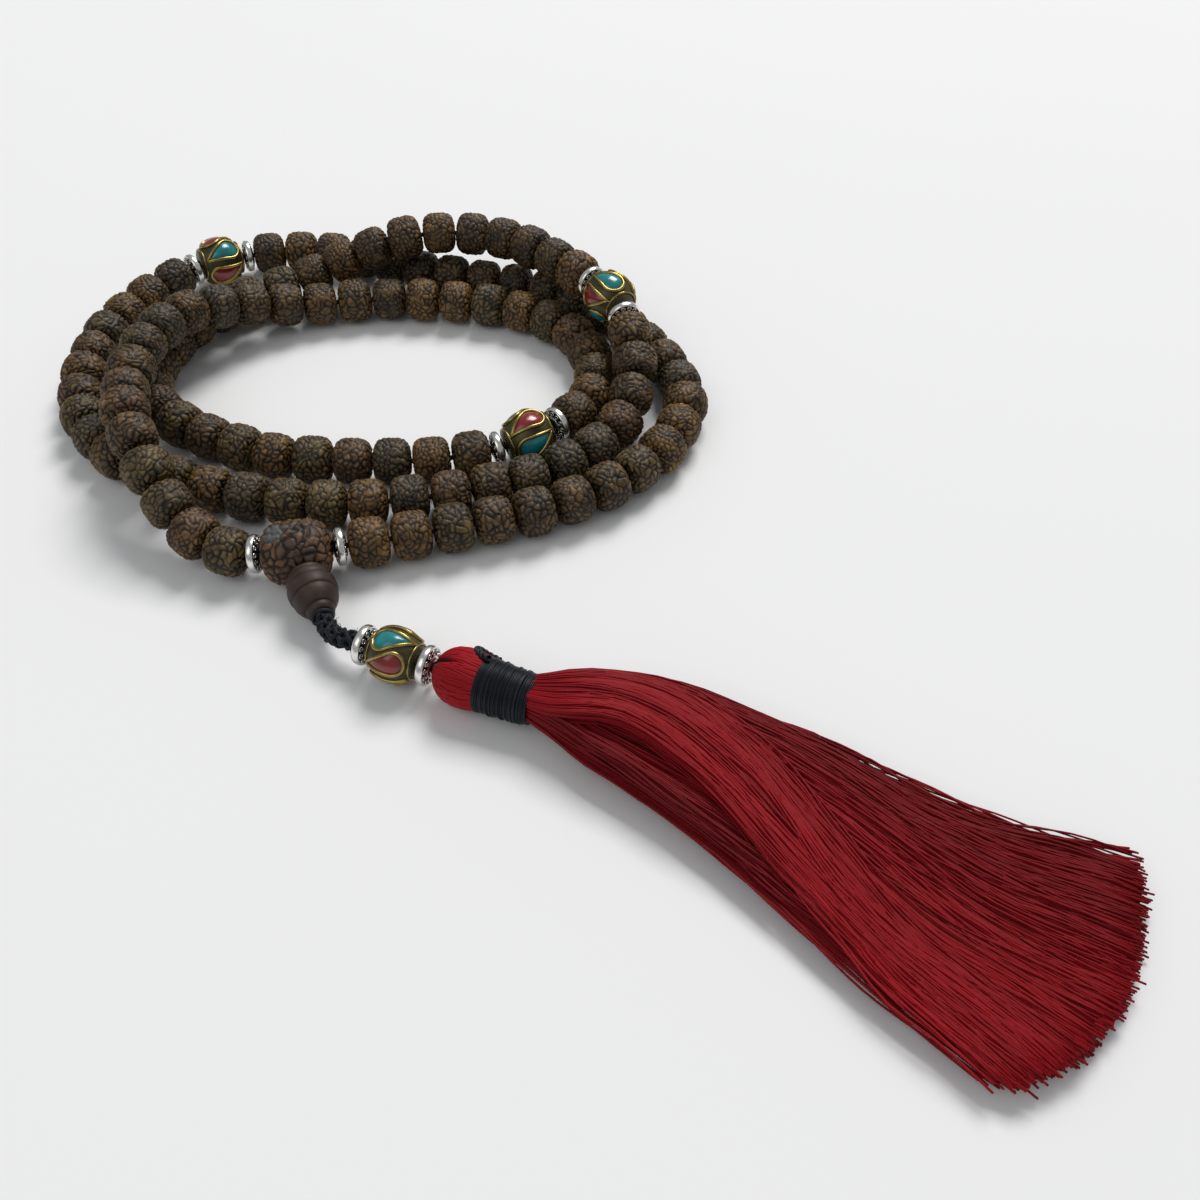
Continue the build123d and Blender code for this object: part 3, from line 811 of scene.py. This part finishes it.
def add_braid():
    """The eight-strand braid in two halves."""
    cap_way = joint_line("stupa_spin")[1]
    root = SWING_AT - 3.0 * cap_way
    corners = np.array([root, SWING_AT, BRAID_BEND, PIVOT, on_tassel(2.0)])
    line = smooth_profile(corners, 160)
    line = smooth_profile(line[::16].tolist() + [line[-1]], 120)
    course = unit(np.gradient(line, axis=0))
    side = unit(np.cross(course, UP))
    over = np.cross(side, course)
    run = np.r_[0, np.cumsum(np.linalg.norm(np.diff(line, axis=0), axis=1))]
    middle = int(np.argmin(np.abs(run - 0.52 * run[-1])))
    halves = (("upper", slice(0, middle + 1)), ("lower", slice(middle, None)))
    for name, part in halves:
        batch = Batch()
        for strand in range(8):
            way = 1 if strand < 4 else -1
            phase = (strand % 4) * math.pi / 2 + (0.0 if way > 0 else math.pi / 4)
            turn = way * 2 * math.pi * run / BRAID_PITCH + phase
            weave = 0.17 * np.sin(4 * way * 2 * math.pi * run / BRAID_PITCH + strand * math.pi)
            reach = BRAID_REACH + way * weave
            around = np.cos(turn)[:, None] * side + np.sin(turn)[:, None] * over
            path = line + reach[:, None] * around
            shade = BRAID_TONE * rng.uniform(0.8, 1.35)
            for ply in range(3):
                twist = 2 * math.pi * (run / PLY_PITCH + ply / 3)
                outward = unit(path - line)
                across = np.cross(course, outward)
                lay = np.cos(twist)[:, None] * outward + np.sin(twist)[:, None] * across
                thread = tube((path + PLY_REACH * lay)[part], PLY_RADIUS, 6)
                batch.add(thread, shade * rng.uniform(0.8, 1.25))
        # Painted shade: a dark tube inside the strands fills the braid's gaps.
        batch.add(tube(line[part], 1.0, 10), BRAID_TONE * 0.4)
        if name == "upper":
            turn = np.arange(40) * 2 * math.pi / 40
            wave = 0.2 * np.sin(2 * turn)
            collar = np.stack([1.75 * np.cos(turn), 1.75 * np.sin(turn), wave], axis=1)
            seat = SWING_AT - 1.75 * cap_way
            batch.add(placed(tube(collar, 0.42, 8, closed=True), seat, cap_way), BRAID_TONE * 0.8)
        hairs = []
        for spot in rng.uniform(0.05, 0.95, BRAID_HAIRS):
            index = int(np.interp(spot, [0, 1], [part.start or 0, (part.stop or len(line)) - 2]))
            angle = rng.uniform(0, 2 * math.pi)
            out = math.cos(angle) * side[index] + math.sin(angle) * over[index]
            foot = line[index] + 1.55 * out
            drift = unit(out + rng.normal(size=3) * 0.8 + course[index] * rng.uniform(-1.5, 1.5))
            reach = rng.uniform(0.5, 1.1)
            hairs.append([foot, foot + 0.5 * reach * drift, foot + reach * unit(drift + 0.4 * out)])
        fuzz = tube(np.array(hairs), [0.05, 0.045, 0.02], 4, about=(0.3, 0.2, 1))
        batch.add(fuzz, BRAID_TONE * 1.3)
        piece = batch.build(f"braid_{name}", CORD)
        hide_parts("braid")
        if name == "upper":
            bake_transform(piece)
        else:
            on_tassel(-2.7) / MM
            on_tassel(1.5) / MM
            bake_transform(piece)


def head_radius(station):
    """The head's outer radius at a distance from its top."""
    places = [0, 0.25, 0.7, 1.3, 2.2, 3.3, 4.9, 6.8, 8.7]
    radii = [0.9, 1.6, 2.55, 3.35, 4.12, 4.68, 4.98, 4.96, 4.62]
    return np.interp(station, places, radii)


CLEFT_ANGLE = math.radians(101)
CLEFT_LENGTH = 5.0
CLEFT_DEPTH = 0.24
HEAD_THREADS = 210
HEAD_THREAD_RADIUS = 0.15
HEAD_THREAD_STEPS = 28


def head_cleft(angle, place):
    """How deep in the fold where the cord enters a point of the head is, from 0 to 1."""
    away = (angle - CLEFT_ANGLE + math.pi) % (2 * math.pi) - math.pi
    narrowing = np.clip(1 - place / CLEFT_LENGTH, 0, 1)
    return np.sqrt(narrowing) * np.exp(-((away / (0.05 + 0.17 * narrowing)) ** 2))


def add_head():
    """The head: a dark core under folded threads that run from the cord's hole to the wrap."""
    batch = Batch()
    places = np.linspace(0.05, HEAD_LENGTH + 0.3, 48)
    profile = np.stack([head_radius(places) - 0.03, places], axis=1)
    core, faces = lathe(profile, 96)
    cleft = head_cleft(np.arctan2(core[:, 1], core[:, 0]), core[:, 2])
    core[:, :2] *= (1 - CLEFT_DEPTH * cleft)[:, None]
    batch.add(placed((core, faces), on_tassel(HEAD_START), AHEAD), RED_TONE * 1.1)
    paths = np.empty((HEAD_THREADS, HEAD_THREAD_STEPS, 3))
    tones = np.empty((HEAD_THREADS, HEAD_THREAD_STEPS, 5, 3))
    outside = np.linspace(0.12, HEAD_LENGTH + 0.4, HEAD_THREAD_STEPS - 2)
    place = np.concatenate([[0.7, 0.25], outside])
    for number in range(HEAD_THREADS):
        angle = 2 * math.pi * (number + rng.uniform(-0.5, 0.5)) / HEAD_THREADS
        radius = head_radius(place) + rng.uniform(-0.015, 0.015)
        radius[:2] = (0.95, 1.05)
        sway = angle + 0.06 * np.sin(place * rng.uniform(0.3, 0.8) + rng.uniform(0, 6))
        cleft = head_cleft(sway, place)
        radius *= 1 - CLEFT_DEPTH * cleft
        paths[number] = on_tassel(HEAD_START + place, radius * np.cos(sway), radius * np.sin(sway))
        # Painted shade: the threads darken to near black in the fold where the cord enters.
        shade = rng.uniform(1.14, 1.26) * (1 - 0.92 * np.minimum(1.8 * cleft, 1))
        tones[number] = RED_TONE * shade[:, None, None]
    outward = unit(paths - on_tassel(HEAD_START + 4))
    batch.add(tube(paths, HEAD_THREAD_RADIUS, 5, about=outward), tones.reshape(-1, 3))
    piece = batch.build("tassel_head_threads", RED)
    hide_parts("tassel_head")
    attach(piece, "tassel")


def add_tie_loop():
    """The tie cord's two-ply loop over the head, with its ends under the wrap."""
    angles = np.radians([6, 9, 15, 30, 50, 64, 71, 73])
    places = HEAD_LENGTH - np.array([-0.7, 0.4, 1.6, 2.5, 2.5, 1.4, 0.3, -0.8])
    line = np.array(
        [
            on_tassel(HEAD_START + place, 5.2 * math.cos(angle), 5.2 * math.sin(angle))
            for angle, place in zip(angles, places)
        ]
    )
    line = smooth_profile(line, 90)
    course = unit(np.gradient(line, axis=0))
    outward = unit(np.cross(course, np.cross(line - on_tassel(HEAD_START + 6), course)))
    across = np.cross(course, outward)
    run = np.linspace(0, 1, 90) * 2 * math.pi * 5
    batch = Batch()
    for ply in range(2):
        twist = run + math.pi * ply
        path = line + 0.3 * (np.cos(twist)[:, None] * outward + np.sin(twist)[:, None] * across)
        batch.add(tube(path, 0.36, 8, about=outward[None]), WRAP_TONE * 1.1)
    piece = batch.build("tassel_tie_loop_cord", WRAP)
    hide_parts("tassel_tie_loop")
    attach(piece, "tassel")


WRAP_TURNS = 38
WRAP_THREAD_RADIUS = 0.165
WRAP_CROSSINGS = 5


def wrap_radius(place, lift=0.0):
    """The wrap's radius at a distance from its start, to the middle of its threads."""
    return np.interp(place, [0, 0.45 * WRAP_LENGTH, WRAP_LENGTH], [4.62, 4.32, 4.02]) + lift


def add_wrap():
    """The wrap: one thread wound in a long helix, with a few turns crossing over it."""
    batch = Batch()
    places = np.linspace(0, WRAP_LENGTH, 12)
    profile = np.stack([wrap_radius(places, -0.07), places], axis=1)
    profile = np.concatenate([[(3.2, 0.1)], profile, [(3.2, WRAP_LENGTH - 0.1)]])
    # Painted shade: a dark body under the windings shows in the gaps between turns.
    batch.add(placed(lathe(profile, 64), on_tassel(WRAP_START), AHEAD), WRAP_TONE * 0.4)
    windings = [(0.0, 1.0, WRAP_TURNS, 0.0, WRAP_THREAD_RADIUS)]
    for _ in range(WRAP_CROSSINGS):
        start = rng.uniform(0.02, 0.75)
        windings.append((start, start + rng.uniform(0.12, 0.25), rng.uniform(1.5, 3), 0.2, 0.15))
    for start, end, turns, lift, thickness in windings:
        steps = int(turns * 44)
        share = np.linspace(0, 1, steps)
        place = (start + (end - start) * share) * WRAP_LENGTH
        course = np.stack([share * turns] * 3, axis=1)
        radius = wrap_radius(place, lift) + 0.05 * noise(course, 1.7, 61)
        place = place + 0.07 * noise(course, 0.9, 62)
        turn = 2 * math.pi * turns * share + 0.7
        station = WRAP_START + 0.12 + place * 0.977
        path = on_tassel(station, radius * np.cos(turn), radius * np.sin(turn))
        shade = 1 + 0.25 * noise(course, 0.6, 63)
        tone = np.repeat(WRAP_TONE * np.clip(shade, 0.5, 1.7)[:, None], 6, axis=0)
        batch.add(tube(path, tapered(thickness, steps, 4), 6, about=AHEAD), tone)
    piece = batch.build("tassel_wrap_windings", WRAP)
    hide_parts("tassel_wrap")
    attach(piece, "tassel")


# Skirt sections: distance from the wrap, half width, half height, sideways shift, height
SECTIONS = np.array(
    [
        (-2.5, 3.1, 3.1, 0, 5.5),
        (0, 3.7, 3.7, 0, 5.5),
        (3.2, 5.6, 4.9, 0.5, 5.5),
        (8, 7.8, 5.2, 1.1, 5.5),
        (20, 10.2, 4.9, 1.0, 5.1),
        (38, 12.6, 4.0, -2.1, 4.4),
        (58, 14.4, 3.3, -7.2, 3.7),
        (75, 16.9, 2.6, -11.1, 3.0),
        (91, 20.9, 2.0, -13.4, 2.3),
        (101, 22.9, 1.8, -15.2, 2.1),
    ]
)
STATIONS = np.arange(-2.5, 101, 0.5)


def skirt_table():
    """The skirt's middle line, side direction and half sizes at every half millimetre."""
    columns = [np.interp(STATIONS, SECTIONS[:, 0], SECTIONS[:, k]) for k in range(1, 5)]
    soft = []
    for column in columns:
        wide = np.pad(column, 8, mode="reflect", reflect_type="odd")
        soft.append(np.convolve(wide, np.full(17, 1 / 17), mode="valid"))
    half_width, half_height, shift, height = soft
    line = on_tassel(SKIRT_START + STATIONS, shift)
    line[:, 2] = height
    course = unit(np.gradient(line, axis=0) * (1, 1, 0))
    return line, np.cross(UP, course), half_width, half_height


LINE, SIDE, HALF_WIDTH, HALF_HEIGHT = skirt_table()


def in_skirt(station, across, height):
    """Points of the skirt: across and height are shares of its half sizes at each station."""
    def at(column):
        return np.interp(station, STATIONS, column)

    middle = np.stack([at(LINE[:, axis]) for axis in range(3)], axis=-1)
    side = unit(np.stack([at(SIDE[:, axis]) for axis in range(3)], axis=-1))
    room = np.sqrt(np.maximum(1 - (0.9 * np.clip(across, -1, 1)) ** 2, 0.05))
    point = middle + side * (across * at(HALF_WIDTH))[..., None]
    point[..., 2] += height * room * at(HALF_HEIGHT)
    return point


THREAD_RADIUS = 0.19
THREAD_STEPS = 32
SKIRT_REACH = 94
UNDER_LOCKS = 28
MIDDLE_LOCKS = 22
OVER_LOCKS = 19


def skirt_end(across):
    """How far the threads reach at each place across the fan."""
    return SKIRT_REACH - 9.2 * np.maximum(-across, 0) ** 1.8 - 3.5 * np.maximum(across, 0) ** 2


def lock_threads(count, start, early, late, layer, spread, shade, swing=0.8, crossing=72):
    """The paths and tones of one lock: where it starts, lies early and ends across the fan."""
    share = np.append(np.linspace(0, 1, THREAD_STEPS - 1), 1.0008)
    bend = rng.uniform(0, 2 * math.pi, 2)
    length = rng.uniform(38, 70)
    paths = np.empty((count, THREAD_STEPS, 3))
    tones = np.empty((count, THREAD_STEPS, 4, 3))
    for number in range(count):
        own = rng.normal(0, spread)
        late_own = late + own * 1.25
        station = -2 + (skirt_end(np.clip(late_own, -1.1, 1.1)) + 2 + rng.normal(0, 0.7)) * share
        if rng.random() < 0.06:
            station = station * rng.uniform(0.86, 0.98)
        leave = ease(station / 16)
        cross = ease((station - 12) / crossing)
        across = (early + own) * (1 - cross) + late_own * cross
        across = (start[0] + own * 0.8) * (1 - leave) + across * leave
        own_height = rng.normal(0, 0.13)
        height = (start[1] + own_height) * (1 - leave) + (layer + own_height) * leave
        height = np.clip(height, -0.98, 1.02)
        point = in_skirt(station, across, height)
        side = SIDE[np.clip(((station + 2.5) * 2).astype(int), 0, len(SIDE) - 1)]
        grow = ease(station / 60)
        wave = swing * grow * np.sin(2 * math.pi * station / length + bend[0])
        fine_length = rng.uniform(13, 34)
        phase = rng.uniform(0, 6)
        fine = 0.20 * ease(station / 12) * np.sin(2 * math.pi * station / fine_length + phase)
        point = point + side * (wave + fine)[:, None]
        lift = 0.22 * grow * np.sin(2 * math.pi * station / (fine_length * 0.8) + bend[1])
        point[:, 2] = np.maximum(point[:, 2] + lift, THREAD_RADIUS + 0.05)
        paths[number] = point
        tones[number] = RED_TONE * shade * rng.uniform(0.92, 1.06)
    return paths, tones


def add_threads(name, locks):
    """One skirt piece of several locks' threads, with blunt cut ends."""
    batch = Batch()
    for paths, tones in locks:
        radii = np.full(THREAD_STEPS, THREAD_RADIUS)
        radii[-1] = 0.2 * THREAD_RADIUS
        batch.add(tube(paths, radii, 4), tones.reshape(-1, 3))
    piece = batch.build(name, RED)
    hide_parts("tassel_skirt")
    bend_skirt(piece)


def bend_skirt(piece):
    """Bakes a skirt piece's placement into its mesh."""
    on_tassel(SKIRT_START + 0.6) / MM
    on_tassel(SKIRT_START + 9.5) / MM
    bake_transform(piece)


def add_skirt():
    """The skirt: a dark core of painted shade, an under layer of locks painted darker as shade, a
    lock that crosses over it, and strays.
    """
    stations = np.arange(-1.5, 62, 2.5)
    turn = np.arange(40) * 2 * math.pi / 40
    rows = []
    for station in stations:
        room = 0.8 * (1 - 0.75 * ease((station - 30) / 32))
        height = 0.6 * room * np.sin(turn) - 0.4
        rows.append(in_skirt(np.full(40, station), room * np.cos(turn), height))
    points = np.concatenate(rows)
    points[:, 2] = np.maximum(points[:, 2], 0.3)
    # Painted shade: a dark core inside the skirt, seen between its threads.
    core = Batch()
    core.add((points, grid_faces(len(stations), 40)), RED_TONE * 0.25)
    piece = core.build("tassel_skirt_shade_core", RED)
    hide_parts("tassel_skirt")
    bend_skirt(piece)

    under = []
    for number in range(UNDER_LOCKS):
        late = -1.0 + 2.0 * (number + 0.5) / UNDER_LOCKS + rng.normal(0, 0.03)
        layer = rng.uniform(-0.7, 0.5)
        start = (0.85 * late + rng.normal(0, 0.07), 0.8 * layer)
        # Painted shade: the under layer's locks are darker than the over lock, with a random spread
        # per lock.
        shade = rng.uniform(0.55, 0.95)
        under.append(lock_threads(40, start, late * 0.93, late, layer, 0.05, shade))
    add_threads("tassel_skirt_under_a", under[0::2])
    add_threads("tassel_skirt_under_b", under[1::2])

    middle = []
    for number in range(MIDDLE_LOCKS):
        share = (number + 0.5) / MIDDLE_LOCKS
        early = -0.15 + 1.1 * share + rng.normal(0, 0.04)
        late = -0.6 + 1.42 * share + rng.normal(0, 0.05)
        start = (-0.5 + 1.3 * share, 0.45)
        layer = rng.uniform(0.3, 0.62)
        # Painted shade: the middle layer's locks are darker than the over lock, with a random spread
        # per lock.
        shade = rng.uniform(0.6, 0.98)
        middle.append(lock_threads(30, start, early, late, layer, 0.05, shade, 0.7))
    add_threads("tassel_skirt_middle", middle)

    over = []
    for number in range(OVER_LOCKS):
        share = (number + 0.5) / OVER_LOCKS
        early = -0.28 + 1.24 * share + rng.normal(0, 0.03)
        late = -0.99 + 0.56 * share + rng.normal(0, 0.05)
        start = (-0.8 + 1.6 * share, 0.62 + 0.2 * rng.random())
        layer = rng.uniform(0.68, 0.97)
        shade = rng.uniform(0.86, 1.12) * (1.04 - 0.16 * share)
        over.append(lock_threads(32, start, early, late, layer, 0.045, shade, 0.6, 60))
    add_threads("tassel_skirt_over", over)

    strays = []
    for late in (0.74, 0.82, 0.88, 0.93, 0.97, 1.0, 1.03, 1.06):
        layer = rng.uniform(-0.2, 0.5)
        strays.append(lock_threads(3, (0.8, 0.4), late - 0.04, late, layer, 0.022, 0.75, 1.3))
    add_threads("tassel_skirt_strays", strays)


def finish_cad(node, made, tone):
    """Gives a CAD node that stays in sight its material and tone."""
    mesh = NODES[node].data
    attribute = mesh.attributes.new("tone", "FLOAT_COLOR", "POINT")
    colours = np.ones((len(mesh.vertices), 4), np.float32)
    colours[:, :3] = tone
    attribute.data.foreach_set("color", colours.ravel())
    mesh.materials.clear()
    mesh.materials.append(made)


add_camera()
add_surroundings()
add_seeds()
add_guru()
add_spacers()
add_inlaid_beads()
add_cap()
add_braid()
add_head()
add_tie_loop()
add_wrap()
add_skirt()
finish_cad("string", CORD, STRING_TONE)
finish_cad("string_knot_and_tail", CORD, STRING_TONE)
finish_cad("tassel_cord", CORD, BRAID_TONE)
